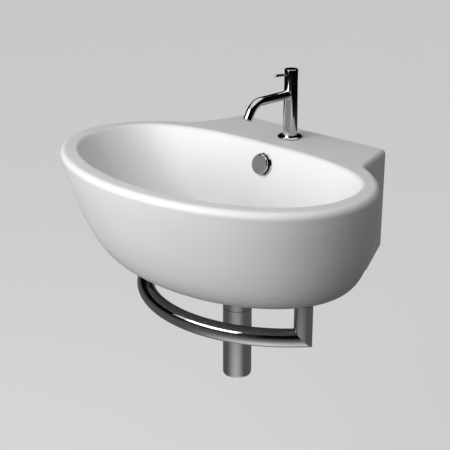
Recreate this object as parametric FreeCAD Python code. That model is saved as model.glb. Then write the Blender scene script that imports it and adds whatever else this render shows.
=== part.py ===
import FreeCAD, Part
import math
import os

V = FreeCAD.Vector
UP = V(0, 0, 1)
DOWN = V(0, 0, -1)
TO_WALL = V(0, 1, 0)
TO_FRONT = V(0, -1, 0)
SIDEWAYS = V(1, 0, 0)

# Wall-hung hand basin with a pin-lever tap, bottle trap and towel rail, in millimetres.
# X runs to the right along the wall, -Y to the front and +Z up.
# The origin lies midway between the two wall-fixing holes, on the wall plane.

# Ceramic: rim, bowl and tap deck
RIM_HEIGHT = 70.0            # rim above the wall-fixing holes
RIM_HALF_WIDTH = 301.5
RIM_HALF_DEPTH = 196.5
FRONT_REACH = 441.5          # wall to the front of the rim
RIM_WIDTH = 34.0             # flat rim between bowl and outer wall
RIM_ROUND = 9.0
LIP_ROUND = 8.0
BOWL_LEAN = 35.0             # the outer wall's centre moves to the wall by this much
OUTER_POWER = 1.11
OUTER_FULLNESS = 10.15
OUTER_CUT = 0.985            # share of the outer curve above the flat underside
INNER_DEPTH = 145.0          # rim to the waste seat
WASTE_BOSS = 45.0            # waste seat to underside
INNER_TAPER = 0.42           # the inner wall draws in by this share on its way down
INNER_POWER = 3.5
INNER_FULLNESS = 2.6
INNER_LEAN_POWER = 3         # how late the bowl's centre moves back to the waste
BACK_SQUARENESS = 2.75       # the bowl's wall side is squarer than an ellipse
DECK_DEPTH = 111.0           # wall to the bowl's edge
DECK_HALF_WIDTH = 164.0      # at the wall
DECK_FLARE = 0.3             # the deck's sides widen by this much per unit forward
DECK_SIDE_BOW = 70.0         # radius by which the deck's sides bend out to meet the oval
DECK_MEET = 12.0             # angle that is left where they meet it
DECK_TAIL_RUN = 45.0
DECK_TAIL_DRAW = 65.0
DECK_ROUND = 8.0
DECK_CORNER_ROUND = 16.0
BLOCK_RISE = 22.0            # the block's lower edge at the wall, above the underside
BLOCK_SLOPE_RUN = 60.0
BLOCK_FLOOR = 42.0           # solid ceramic in the block's foot, above the underside
WALL = 11.0
RIM_THICK = 13.0
DECK_THICK = 14.0
BACK_PLATE = 14.0
BACK_OPENING_HALF = 95.0
BACK_STRIP = 42.0            # back plate left standing above the opening
MOUTH_DEPTH = 48.0           # open underside behind the bowl

# Wall fixing
FIXING_SPACING = 280.0
FIXING_HOLE_R = 8.0

# Waste
WASTE_Y = -181.0
WASTE_SEAT_R = 36.0
WASTE_HOLE_R = 23.0
WASTE_TUBE_R = 21.0
WASTE_BORE_R = 17.5
WASTE_FLANGE_R = 31.5
WASTE_FLANGE = 3.0
WASTE_TAIL = 20.0            # tail below the ceramic
WASTE_SEAL = 1.5
UNDER_SEAL = 6.0
BACKNUT = 8.0
BACKNUT_R = 28.0
BRIDGE = 6.0
BRIDGE_HUB_R = 10.0
PLUG_R = 28.0
PLUG_THICK = 4.0
PLUG_CROWN = 2.0
PLUG_SEAL = 1.7
PLUG_SEAL_WIDTH = 7.0        # seal beyond the waste's bore
PLUG_RISE = 9.0
STEM_R = 4.0
STEM_COLLAR = 2.0
GUIDE_R = 7.0
GUIDE_ABOVE = 14.0
GUIDE_BELOW = 4.0
GUIDE_SHOULDER = 2.0
SPRING_WIRE_R = 0.6
SPRING_TURNS = 6
SPRING_STEPS = 4

# Overflow
OVERFLOW_DEPTH = 34.0        # rim to the overflow's centre, down the bowl's wall side
OVERFLOW_HOLE_R = 13.5
OVERFLOW_TUBE_R = 13.0
OVERFLOW_BORE_R = 11.5
OVERFLOW_RING_R = 20.0
OVERFLOW_RING = 3.0
OVERFLOW_TUBE = 14.0
OVERFLOW_CAP_R = 17.5
OVERFLOW_CAP = 2.5
OVERFLOW_STANDOFF = 4.5
OVERFLOW_STEM_R = 3.0
OVERFLOW_BRIDGE = 3.0
CHANNEL_HALF = 14.0
CHANNEL_DEEP = 14.0
CHANNEL_LOW = 12.0

# Tap
TAP_Y = -52.0
TAP_HOLE_R = 17.5
TAP_TOP = 119.0              # deck to the top of the cap
CAP_HEIGHT = 22.0
CAP_R = 11.5
CAP_WALL = 2.4
CAP_GAP = 1.5                # shadow gap between cap and body
CAP_WEB = 3.5
CAP_WEB_RISE = 3.0
BODY_BASE_R = 12.8
BODY_TOP_R = 11.4
FLANGE_R = 21.5
FLANGE = 3.2
BASE_SEAL = 1.0
CARTRIDGE_R = 9.4
CARTRIDGE = 24.0
CARTRIDGE_NUT = 6.0
SPINDLE_R = 4.4
SPINDLE_SINK = 8.0
PIVOT_DROP = 9.5             # cap's top to the lever's pivot
EAR_THICK = 2.0
EAR_HALF = 3.4
LEVER_HUB_R = 3.4
LEVER_HUB_HALF = 3.0
LEVER_PIN_R = 1.4
LEVER_ROOT_R = 1.7
LEVER_TIP_R = 2.4
LEVER_BALL_R = 3.0
LEVER_LENGTH = 41.0
LEVER_TILT = 5.0             # lever's slope when the tap is shut
LEVER_LIFT = 16.0
GRUB_R = 1.5
SPOUT_R = 7.5
SPOUT_WALL = 1.2
SPOUT_DROP = 43.0            # cap's top to the spout's centre line
SPOUT_REACH = 92.0           # tap's axis to the spout's corner
SPOUT_BEND = 29.0
SPOUT_TURN = 60.0
SPOUT_END = 30.0             # corner to the outlet
AERATOR_R = 6.6
AERATOR = 5.0
AERATOR_SINK = 1.0
AERATOR_WALL = 1.0
AERATOR_RIB = 0.8
AERATOR_RIBS = 3
SHANK_R = 10.5
SHANK_BORE_R = 9.2
SHANK_IN_BODY = 12.0
SHANK_BELOW = 60.0
INLET_R = 3.5
INLET_DEEP = 12.0
INLET_OFFSET = 4.5
INLET_SOCKET_R = 4.3
PASSAGE_R = 3.8              # from a socket up to the cartridge
WATERWAY_R = 2.2
CLAMP_R = 22.0
CLAMP_GASKET = 3.0
CLAMP_WASHER = 2.0
CLAMP_NUT = 8.0
CLAMP_NUT_ACROSS = 30.0

# Bottle trap
TRAP_R = 25.0
TRAP_WALL = 2.0
TRAP_TUBE_R = 16.0
TRAP_TUBE_WALL = 1.2
COUPLING_R = 25.5
COUPLING = 15.0
COUPLING_LIP = 4.0
COUPLING_SEAL = 3.0
TUBE_COLLAR = 2.5
TUBE_EXPOSED = 2.0
NECK_R = 20.0
NECK = 8.0
NECK_NUT_R = 24.0
NECK_NUT = 10.0
NECK_NUT_LIP = 2.0
NECK_SEAL = 2.0
TRAP_BODY = 43.0
TRAP_TOP_ROUND = 4.0
CUP = 128.0
CUP_ROUND = 4.0
CUP_FLOOR = 4.0
CUP_THREAD = 12.0
CUP_SEAL = 1.0
CUP_SEAL_SINK = 0.8
TUBE_IN_BODY = 18.0
DIP_TUBE_WALL = 1.5
DIP_CLEAR = 36.0             # dip tube's end above the cup's floor
OUTLET_DROP = 21.0           # body's top to the outlet's centre line
OUTLET_STUB = 17.0
OUTLET_NUT_R = 22.5
OUTLET_NUT = 18.0
OUTLET_NUT_LIP = 3.0
OUTLET_SEAL = 3.0
OUTLET_IN_STUB = 12.0
OUTLET_PAST_WALL = 30.0
OUTLET_MARK = 1.0            # groove that marks how far the pipe goes into its socket
OUTLET_MARK_DEEP = 0.3
ROSETTE_R = 36.0
ROSETTE = 9.0
ROSETTE_SHOULDER_R = 30.5
ROSETTE_SHOULDER = 6.3
ROSETTE_WALL = 1.5

# Towel rail
RAIL_R = 15.0
RAIL_WALL = 1.5
RAIL_LEG_X = 185.0
RAIL_LEG_Y = -225.0
RAIL_BOW = 86.0              # the bar bows forward of its legs by this much
RAIL_DROP = 67.0             # underside to the bar's centre line
RAIL_BOSS_R = 21.0
RAIL_BOSS_TIP_R = 15.0
RAIL_BOSS = 7.0
RAIL_BOSS_INSIDE = 40.0
RAIL_GASKET = 1.0
RAIL_PLUG = 14.0
STUD_R = 4.0
STUD = 34.0
INSERT_R = 8.0
INSERT = 26.0

# Fits and small edges
RUN_FIT = 0.05               # radial play of turning and sliding pieces
THREAD_FIT = 0.02            # radial play left at a screwed joint
SEAT_FIT = 0.2               # radial play of pieces dropped into place
MOVE_GAP = 0.3               # play between pieces that move past each other
EDGE = 0.6                   # small chamfer on turned pieces
ROUND_MID = 1 - math.sqrt(0.5)   # share of a round's radius left standing halfway along it
RING_POINTS = 32
OUTER_STEPS = (0.0, 0.14, 0.3, 0.46, 0.62, 0.76, 0.87, 0.94, 0.98, 1.0)
INNER_STEPS = (0.0, 0.1, 0.22, 0.36, 0.5, 0.64, 0.77, 0.88, 0.96, 1.0)
FAR = 1000.0
NEAR = 1.0                   # an edge this close to where one is looked for is taken
LEVEL = 0.01                 # an edge is level within this height


# Heights worked out from the sizes above
RIM_Z = RIM_HEIGHT
BOWL_Y = RIM_HALF_DEPTH - FRONT_REACH
BOWL_HEIGHT = INNER_DEPTH + WASTE_BOSS
UNDER_Z = RIM_Z - BOWL_HEIGHT
FLOOR_Z = RIM_Z - INNER_DEPTH
OPENING_HALF_WIDTH = RIM_HALF_WIDTH - RIM_WIDTH
OPENING_FRONT = FRONT_REACH - RIM_WIDTH + BOWL_Y
OPENING_BACK = -DECK_DEPTH - BOWL_Y
BASE_Z = RIM_Z + BASE_SEAL
CAP_TOP_Z = RIM_Z + TAP_TOP
CAP_BOTTOM_Z = CAP_TOP_Z - CAP_HEIGHT
BODY_TOP_Z = CAP_BOTTOM_Z - CAP_GAP
PIVOT_Z = CAP_TOP_Z - PIVOT_DROP
SPOUT_Z = CAP_TOP_Z - SPOUT_DROP
SPINDLE_TOP_Z = PIVOT_Z - LEVER_HUB_R - MOVE_GAP


def cylinder(radius, length, base, axis=UP):
    return Part.makeCylinder(radius, length, base, axis)


def box(low, high):
    size = high - low
    return Part.makeBox(size.x, size.y, size.z, low)


def turned(outline, base, axis=UP):
    """A turned piece: (radius, height) corners, closed and spun about the axis through base."""
    corners = [V(radius, 0, height) for radius, height in outline]
    face = Part.Face(Part.makePolygon(corners + corners[:1]))
    piece = face.revolve(V(0, 0, 0), UP, 360)
    piece.Placement = FreeCAD.Placement(base, FreeCAD.Rotation(UP, axis))
    return piece


def ring(outer, inner, low, high, chamfer=0.0):
    """The outline of a plain ring, its outer corners chamfered where a chamfer is given."""
    if not chamfer:
        return [(inner, low), (outer, low), (outer, high), (inner, high)]
    return [
        (inner, low),
        (outer - chamfer, low),
        (outer, low + chamfer),
        (outer, high - chamfer),
        (outer - chamfer, high),
        (inner, high),
    ]


def hexagon(across, thick, base):
    corner = across / math.sqrt(3)
    points = []
    for step in range(7):
        angle = math.radians(60 * step)
        points.append(base + V(corner * math.cos(angle), corner * math.sin(angle), 0))
    return Part.Face(Part.makePolygon(points)).extrude(V(0, 0, thick))


def rounded(piece, radius, wanted):
    return piece.makeFillet(radius, [edge for edge in piece.Edges if wanted(edge)])


def level_edge(height):
    """Picks the edges that lie level at this height."""
    def wanted(edge):
        bounds = edge.BoundBox
        return abs(bounds.ZMin - height) < LEVEL and abs(bounds.ZMax - height) < LEVEL
    return wanted


def half_space(point, normal):
    """Everything on the normal's side of a plane through the point."""
    block = Part.makeBox(FAR, FAR, FAR, V(-FAR / 2, -FAR / 2, 0))
    block.Placement = FreeCAD.Placement(point, FreeCAD.Rotation(UP, normal))
    return block


def save(name, shape):
    solids = shape.Solids
    result = solids[0] if len(solids) == 1 else Part.makeCompound(solids)
    result.exportStep("parts/" + name + ".step")


# Ceramic
def outer_section(share, inset=0.0):
    """The outer wall's ellipse at a share of the height down from the rim."""
    scale = (1 - (OUTER_CUT * share) ** OUTER_POWER) ** (1 / OUTER_FULLNESS)
    centre = V(0, BOWL_Y + BOWL_LEAN * share, RIM_Z - BOWL_HEIGHT * share)
    oval = Part.Ellipse(centre, RIM_HALF_WIDTH * scale - inset, RIM_HALF_DEPTH * scale - inset)
    return Part.Wire(oval.toShape())


def outer_form(inset, top, bottom):
    """The bowl's outer wall between two shares of its height, drawn in by an inset."""
    sections = [outer_section(top + (bottom - top) * step, inset) for step in OUTER_STEPS]
    return Part.makeLoft(sections, True)


def inner_scale(share):
    return (1 - INNER_TAPER * share) * (1 - share ** INNER_POWER) ** (1 / INNER_FULLNESS)


def inner_centre(share):
    return BOWL_Y + (WASTE_Y - BOWL_Y) * share ** INNER_LEAN_POWER


def inner_reach(share, reach):
    return WASTE_SEAT_R + (reach - WASTE_SEAT_R) * inner_scale(share)


def inner_section(share, grow, depth):
    """The bowl's inner wall at a share of its depth: an ellipse in front, squarer behind."""
    half_width = inner_reach(share, OPENING_HALF_WIDTH) + grow
    front = inner_reach(share, OPENING_FRONT) + grow
    back = inner_reach(share, OPENING_BACK) + grow
    power = 2 / (2 + (BACK_SQUARENESS - 2) * inner_scale(share))
    points = []
    for step in range(RING_POINTS):
        angle = 2 * math.pi * step / RING_POINTS
        across = math.cos(angle)
        along = math.sin(angle)
        if along > 0:
            x = half_width * math.copysign(abs(across) ** power, across)
            y = back * along ** power
        else:
            x = half_width * across
            y = front * along
        points.append(V(x, inner_centre(share) + y, RIM_Z - depth * share))
    curve = Part.BSplineCurve()
    curve.interpolate(Points=points, PeriodicFlag=True)
    return Part.Wire(curve.toShape())


def inner_form(grow):
    sections = [inner_section(step, grow, INNER_DEPTH + grow) for step in INNER_STEPS]
    return Part.makeLoft(sections, True)


def deck_side(inset, near_wall):
    """The deck block's right side from above: straight from the wall, then bent out to the oval.

    Gives the side's start, the bend's start, middle and end, and the tail inside the oval.
    """
    half_width = RIM_HALF_WIDTH - inset
    stretch = (half_width / (RIM_HALF_DEPTH - inset)) ** 2
    wall_x = DECK_HALF_WIDTH - inset * math.hypot(1, DECK_FLARE)
    square = DECK_FLARE ** 2 + stretch
    half = DECK_FLARE * wall_x + stretch * BOWL_Y
    rest = wall_x ** 2 + stretch * BOWL_Y ** 2 - half_width ** 2
    run = -(half + math.sqrt(half ** 2 - square * rest)) / square
    corner = V(wall_x + DECK_FLARE * run, -run, 0)
    heading = math.atan(DECK_FLARE)
    meeting = math.atan(-stretch * (BOWL_Y + run) / corner.x) - math.radians(DECK_MEET)
    radius = DECK_SIDE_BOW + inset
    trim = radius * math.tan((meeting - heading) / 2)
    bend_start = corner - V(math.sin(heading), -math.cos(heading), 0) * trim
    bend_end = corner + V(math.sin(meeting), -math.cos(meeting), 0) * trim
    centre = bend_start + V(math.cos(heading), math.sin(heading), 0) * radius
    to_corner = corner - centre
    middle = centre + to_corner * (radius / to_corner.Length)
    start = V(wall_x + DECK_FLARE * near_wall, -near_wall, 0)
    tail = bend_end - V(DECK_TAIL_DRAW, DECK_TAIL_RUN, 0)
    return start, bend_start, middle, bend_end, tail


def deck_plan(inset, near_wall, height):
    """The deck block's outline from above, drawn in by an inset at its sides."""
    lift = V(0, 0, height)
    right = [point + lift for point in deck_side(inset, near_wall)]
    left = [V(-point.x, point.y, height) for point in right]
    edges = [
        Part.LineSegment(left[0], right[0]),
        Part.LineSegment(right[0], right[1]),
        Part.Arc(right[1], right[2], right[3]),
        Part.LineSegment(right[3], right[4]),
        Part.LineSegment(right[4], left[4]),
        Part.LineSegment(left[4], left[3]),
        Part.Arc(left[3], left[2], left[1]),
        Part.LineSegment(left[1], left[0]),
    ]
    return Part.Face(Part.Wire([edge.toShape() for edge in edges]))


def deck_block():
    """The block behind the bowl, with its underside sloping down to the front."""
    low = UNDER_Z
    block = deck_plan(0, 0, low).extrude(V(0, 0, RIM_Z - low))
    side = deck_side(0, 0)
    back_low = V(-FAR, 0, low)
    wedge = [back_low, V(-FAR, 0, low + BLOCK_RISE), V(-FAR, -BLOCK_SLOPE_RUN, low), back_low]
    block = block.cut(Part.Face(Part.makePolygon(wedge)).extrude(V(2 * FAR, 0, 0)))
    straight = (side[0] + side[1]) / 2
    bend_end = side[3]

    def side_top(edge):
        place = edge.CenterOfMass
        beside = math.hypot(abs(place.x) - straight.x, place.y - straight.y) < NEAR
        return beside and abs(place.z - RIM_Z) < LEVEL

    def side_corner(edge):
        return edge.BoundBox.ZLength > BOWL_HEIGHT / 2 and abs(edge.CenterOfMass.y - bend_end.y) < NEAR
    return rounded(rounded(block, DECK_CORNER_ROUND, side_corner), DECK_ROUND, side_top)


def overflow_place():
    """Where the overflow sits on the bowl's wall side, and the way that the wall faces there."""
    def at(depth):
        share = depth / INNER_DEPTH
        return V(0, inner_centre(share) + inner_reach(share, OPENING_BACK), RIM_Z - depth)
    slope = at(OVERFLOW_DEPTH + NEAR) - at(OVERFLOW_DEPTH - NEAR)
    facing = V(0, slope.z, -slope.y)
    facing.normalize()
    return at(OVERFLOW_DEPTH), facing


def channel_places():
    point, facing = overflow_place()
    front = point.y + WALL
    return front, front + CHANNEL_DEEP


def overflow_channel(grow):
    """The way from the overflow down to the waste, behind and below the bowl."""
    front, back = channel_places()
    low = UNDER_Z + WALL
    top = RIM_Z - OVERFLOW_DEPTH + OVERFLOW_HOLE_R
    half = CHANNEL_HALF + grow
    drop = box(V(-half, front - grow, low - grow), V(half, back + grow, top + grow))
    run = box(V(-half, WASTE_Y, low - grow), V(half, back + grow, low + CHANNEL_LOW + grow))
    return drop.fuse(run)


def rail_feet():
    return [V(side * RAIL_LEG_X, RAIL_LEG_Y, UNDER_Z) for side in (-1, 1)]


def basin_form():
    waste = V(0, WASTE_Y, 0)
    outer = rounded(outer_form(0, 0, 1), RIM_ROUND, level_edge(RIM_Z))
    body = outer.fuse(deck_block())
    for foot in rail_feet():
        boss = Part.makeCone(RAIL_BOSS_R, RAIL_BOSS_TIP_R, RAIL_BOSS + WALL, foot + V(0, 0, WALL), DOWN)
        body = body.fuse(boss)

    hollow = outer_form(WALL, RIM_THICK / BOWL_HEIGHT, 1 - WALL / BOWL_HEIGHT)
    block_low = UNDER_Z + BLOCK_FLOOR
    block_top = RIM_Z - DECK_THICK
    hollow = hollow.fuse(deck_plan(WALL, BACK_PLATE, block_low).extrude(V(0, 0, block_top - block_low)))
    mouth_half = DECK_HALF_WIDTH - WALL
    mouth_end = -BACK_PLATE - MOUTH_DEPTH
    mouth = box(V(-mouth_half, mouth_end, UNDER_Z - WALL), V(mouth_half, -BACK_PLATE, block_top))
    hollow = hollow.fuse(mouth).cut(inner_form(WALL)).cut(overflow_channel(WALL))
    hollow = hollow.cut(cylinder(WASTE_SEAT_R, INNER_DEPTH, waste + V(0, 0, UNDER_Z)))
    for foot in rail_feet():
        hollow = hollow.cut(cylinder(RAIL_BOSS_R, RAIL_BOSS_INSIDE, foot))
    body = body.cut(inner_form(0))

    def lip(edge):
        bounds = edge.BoundBox
        inside = bounds.XMax < OPENING_HALF_WIDTH + NEAR and bounds.YMax < NEAR - DECK_DEPTH
        return inside and level_edge(RIM_Z)(edge)
    body = rounded(body, LIP_ROUND, lip).cut(hollow)

    cuts = [overflow_channel(0)]
    cuts.append(cylinder(WASTE_HOLE_R, BOWL_HEIGHT, waste + V(0, 0, UNDER_Z - WALL)))
    cuts.append(cylinder(TAP_HOLE_R, DECK_THICK + 2 * EDGE, V(0, TAP_Y, RIM_Z - DECK_THICK - EDGE)))
    point, facing = overflow_place()
    cuts.append(cylinder(OVERFLOW_HOLE_R, WALL + CHANNEL_DEEP, point + facing * WALL / 2, facing * -1))
    opening = V(BACK_OPENING_HALF, -2 * BACK_PLATE, UNDER_Z - WALL)
    cuts.append(box(V(-opening.x, opening.y, opening.z), V(opening.x, WALL, RIM_Z - BACK_STRIP)))
    for side in (-1, 1):
        hole = V(side * FIXING_SPACING / 2, WALL, 0)
        cuts.append(cylinder(FIXING_HOLE_R, BACK_PLATE + 2 * WALL, hole, TO_FRONT))
    for foot in rail_feet():
        cuts.append(cylinder(INSERT_R, INSERT, foot + V(0, 0, -RAIL_BOSS)))
    for cut in cuts:
        body = body.cut(cut)
    return body


def basin():
    """The ceramic, parted where its castings are joined.

    They are the bowl, the oval skirt, the base, the block, the deck and the overflow's duct.
    """
    form = basin_form()
    bowl = inner_form(WALL)
    block = deck_block().cut(outer_form(0, 0, 1))
    base = box(V(-FAR, -FAR, UNDER_Z - 2 * RAIL_BOSS), V(FAR, FAR, UNDER_Z + WALL))
    base = base.fuse(cylinder(WASTE_SEAT_R, INNER_DEPTH, V(0, WASTE_Y, UNDER_Z)))
    for foot in rail_feet():
        base = base.fuse(cylinder(RAIL_BOSS_R, RAIL_BOSS_INSIDE, foot))
    deck_half = DECK_HALF_WIDTH - WALL
    deck = box(V(-deck_half, -DECK_DEPTH, RIM_Z - DECK_THICK), V(deck_half, FAR, RIM_Z + DECK_THICK))
    around = form.cut(bowl)
    below = around.cut(deck)
    oval = below.cut(block)
    skirt = oval.cut(base)
    duct = overflow_channel(WALL)
    save("basin_bowl", form.common(bowl))
    save("basin_skirt", skirt.cut(duct))
    save("basin_duct", skirt.common(duct))
    save("basin_base", oval.common(base))
    save("basin_block", below.common(block))
    save("basin_deck", around.common(deck))


# Waste
def waste_body():
    top = FLOOR_Z + WASTE_SEAL
    low = UNDER_Z - WASTE_TAIL
    outline = [
        (WASTE_BORE_R, low),
        (WASTE_TUBE_R - EDGE, low),
        (WASTE_TUBE_R, low + EDGE),
        (WASTE_TUBE_R, top),
        (WASTE_FLANGE_R, top),
        (WASTE_FLANGE_R, top + WASTE_FLANGE / 2),
        (WASTE_FLANGE_R - WASTE_FLANGE, top + WASTE_FLANGE),
        (WASTE_BORE_R, top + WASTE_FLANGE),
    ]
    place = V(0, WASTE_Y, 0)
    body = turned(outline, place)
    window_low = UNDER_Z + WALL
    reach = V(CHANNEL_HALF / 2, 2 * WASTE_TUBE_R, CHANNEL_LOW)
    low_corner = place + V(-reach.x, -reach.y, window_low)
    body = body.cut(box(low_corner, place + V(reach.x, reach.y, window_low + reach.z)))
    half = (WASTE_BORE_R + WASTE_TUBE_R) / 2
    bar = box(place + V(-half, -BRIDGE / 2, UNDER_Z), place + V(half, BRIDGE / 2, UNDER_Z + BRIDGE))
    hub = cylinder(BRIDGE_HUB_R, BRIDGE, place + V(0, 0, UNDER_Z))
    body = body.fuse(bar).fuse(hub)
    return body.cut(cylinder(GUIDE_R + THREAD_FIT, 3 * BRIDGE, place + V(0, 0, UNDER_Z - BRIDGE)))


def plug_heights():
    seat = FLOOR_Z + WASTE_SEAL + WASTE_FLANGE + MOVE_GAP
    under = seat + PLUG_SEAL
    guide_top = UNDER_Z + BRIDGE + GUIDE_ABOVE
    return seat, under, guide_top


def waste():
    place = V(0, WASTE_Y, 0)
    seat, under, guide_top = plug_heights()
    save("waste_body", waste_body())
    clear_r = WASTE_TUBE_R + SEAT_FIT
    top_seal = ring(WASTE_FLANGE_R - EDGE, clear_r, FLOOR_Z, FLOOR_Z + WASTE_SEAL)
    save("waste_top_seal", turned(top_seal, place))
    seal_low = UNDER_Z - UNDER_SEAL
    under_seal = [
        (clear_r, seal_low),
        (BACKNUT_R - EDGE, seal_low),
        (WASTE_SEAT_R - WASTE_SEAL, UNDER_Z),
        (clear_r, UNDER_Z),
    ]
    save("waste_under_seal", turned(under_seal, place))
    backnut = ring(BACKNUT_R, WASTE_TUBE_R + THREAD_FIT, seal_low - BACKNUT, seal_low, EDGE)
    save("waste_backnut", turned(backnut, place))

    crown_r = PLUG_R / 2
    crown = [
        (0, under),
        (PLUG_R, under),
        (PLUG_R, under + PLUG_THICK / 2),
        (PLUG_R - PLUG_THICK / 2, under + PLUG_THICK),
        (crown_r, under + PLUG_THICK + PLUG_CROWN * (1 - (crown_r / PLUG_R) ** 2)),
        (0, under + PLUG_THICK + PLUG_CROWN),
    ]
    save("waste_plug", turned(crown, place))
    seal = ring(WASTE_BORE_R + PLUG_SEAL_WIDTH, WASTE_BORE_R + EDGE, seat, under)
    save("plug_seal", turned(seal, place))
    stem_low = UNDER_Z - GUIDE_BELOW - PLUG_RISE - STEM_COLLAR - MOVE_GAP
    stem = cylinder(STEM_R, under - stem_low, place + V(0, 0, stem_low))
    collar = cylinder(STEM_R + STEM_COLLAR, STEM_COLLAR, place + V(0, 0, stem_low))
    save("plug_stem", stem.fuse(collar))
    guide_low = UNDER_Z - GUIDE_BELOW
    guide_bore = STEM_R + RUN_FIT
    sleeve = turned(ring(GUIDE_R, guide_bore, guide_low, guide_top), place)
    shoulder_low = UNDER_Z + BRIDGE
    shoulder = turned(ring(BRIDGE_HUB_R, guide_bore, shoulder_low, shoulder_low + GUIDE_SHOULDER), place)
    save("plug_guide", sleeve.fuse(shoulder))
    save("plug_spring", plug_spring(guide_top, under))


def plug_spring(low, high):
    """One unbroken coil between the guide and the plug."""
    place = V(0, WASTE_Y, 0)
    radius = (STEM_R + GUIDE_R) / 2
    start = low + SPRING_WIRE_R + MOVE_GAP
    rise = high - low - 2 * (SPRING_WIRE_R + MOVE_GAP)

    def at(turn):
        angle = 2 * math.pi * turn
        height = start + rise * turn / SPRING_TURNS
        return place + V(radius * math.cos(angle), radius * math.sin(angle), height)
    arcs = []
    for step in range(SPRING_TURNS * SPRING_STEPS):
        turn = step / SPRING_STEPS
        half = 1 / (2 * SPRING_STEPS)
        arcs.append(Part.Arc(at(turn), at(turn + half), at(turn + 2 * half)).toShape())
    path = Part.Wire(arcs)
    wire = Part.Wire(Part.makeCircle(SPRING_WIRE_R, at(0), arcs[0].tangentAt(arcs[0].FirstParameter)))
    gap = rise / SPRING_TURNS - 2 * SPRING_WIRE_R
    print("plug spring: gap between turns", round(gap, 2), "mm")
    return path.makePipeShell([wire], True, False)


# Overflow
def overflow():
    point, facing = overflow_place()
    flange = [
        (OVERFLOW_BORE_R, -OVERFLOW_TUBE),
        (OVERFLOW_TUBE_R, -OVERFLOW_TUBE),
        (OVERFLOW_TUBE_R, 0),
        (OVERFLOW_RING_R, 0),
        (OVERFLOW_RING_R, OVERFLOW_RING / 3),
        (OVERFLOW_RING_R - OVERFLOW_RING / 2, OVERFLOW_RING),
        (OVERFLOW_BORE_R, OVERFLOW_RING),
    ]
    seat = point + facing * seat_depth()
    sleeve = turned(flange, seat, facing)
    half = (OVERFLOW_BORE_R + OVERFLOW_TUBE_R) / 2
    bar = box(V(-half, -OVERFLOW_BRIDGE, 0), V(half, OVERFLOW_BRIDGE, OVERFLOW_RING))
    bar = bar.fuse(cylinder(2 * OVERFLOW_STEM_R, OVERFLOW_RING, V(0, 0, 0)))
    bar = bar.cut(cylinder(OVERFLOW_STEM_R + THREAD_FIT, 3 * OVERFLOW_RING, V(0, 0, -OVERFLOW_RING)))
    bar.Placement = FreeCAD.Placement(seat, FreeCAD.Rotation(UP, facing))
    save("overflow_ring", sleeve.fuse(bar))
    under = OVERFLOW_RING + OVERFLOW_STANDOFF
    cap = [
        (0, 0),
        (OVERFLOW_STEM_R, 0),
        (OVERFLOW_STEM_R, under),
        (OVERFLOW_CAP_R, under),
        (OVERFLOW_CAP_R, under + OVERFLOW_CAP / 2),
        (OVERFLOW_CAP_R - OVERFLOW_CAP / 2, under + OVERFLOW_CAP),
        (0, under + OVERFLOW_CAP),
    ]
    save("overflow_cap", turned(cap, seat, facing))


def seat_depth():
    """How far the overflow's flat ring stands off the hollow of the bowl's curved wall."""
    point, facing = overflow_place()
    share = OVERFLOW_DEPTH / INNER_DEPTH
    half_width = inner_reach(share, OPENING_HALF_WIDTH)
    back = inner_reach(share, OPENING_BACK)
    power = 2 + (BACK_SQUARENESS - 2) * inner_scale(share)
    drawn_in = back - back * (1 - (OVERFLOW_RING_R / half_width) ** power) ** (1 / power)
    depths = [OVERFLOW_DEPTH + side * OVERFLOW_RING_R * abs(facing.y) for side in (-1, 1)]
    proud = 0.0
    for depth in depths:
        near = V(0, inner_centre(depth / INNER_DEPTH), RIM_Z - depth)
        near.y += inner_reach(depth / INNER_DEPTH, OPENING_BACK)
        proud = max(proud, (near - point).dot(facing))
    return max(proud, drawn_in)


# Tap
def tap_cone():
    return Part.makeCone(BODY_BASE_R, BODY_TOP_R, BODY_TOP_Z - BASE_Z, V(0, TAP_Y, BASE_Z))


def cartridge_low():
    return BODY_TOP_Z - CARTRIDGE_NUT - CARTRIDGE


def tap_body():
    place = V(0, TAP_Y, 0)
    bore_r = CARTRIDGE_R + RUN_FIT
    body = tap_cone()
    body = body.cut(cylinder(bore_r, CARTRIDGE + 2 * CARTRIDGE_NUT, place + V(0, 0, cartridge_low())))
    socket = place + V(0, 0, BASE_Z - SHANK_IN_BODY)
    roof = BASE_Z + SHANK_IN_BODY + INLET_DEEP
    body = body.cut(cylinder(SHANK_R + THREAD_FIT, roof - socket.z, socket))
    for side in (-1, 1):
        inlet = V(side * INLET_OFFSET, TAP_Y, roof)
        body = body.cut(cylinder(PASSAGE_R, cartridge_low() - roof + EDGE, inlet))
    port = cylinder(SPOUT_R - 2 * SPOUT_WALL, 2 * BODY_BASE_R, V(0, TAP_Y, SPOUT_Z), TO_FRONT)
    return body.cut(port)


def inlet_sockets():
    """The two sockets for the supply hoses, brazed into the body above its shank."""
    low = BASE_Z + SHANK_IN_BODY
    outline = ring(INLET_SOCKET_R, INLET_R, low, low + INLET_DEEP)
    save("hot_inlet_socket", turned(outline, V(-INLET_OFFSET, TAP_Y, 0)))
    save("cold_inlet_socket", turned(outline, V(INLET_OFFSET, TAP_Y, 0)))


def spout_frame():
    """The corner where the spout's two straight runs would meet, and the outlet's direction."""
    turn = math.radians(SPOUT_TURN)
    return V(0, TAP_Y - SPOUT_REACH, SPOUT_Z), V(0, -math.cos(turn), -math.sin(turn))


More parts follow.
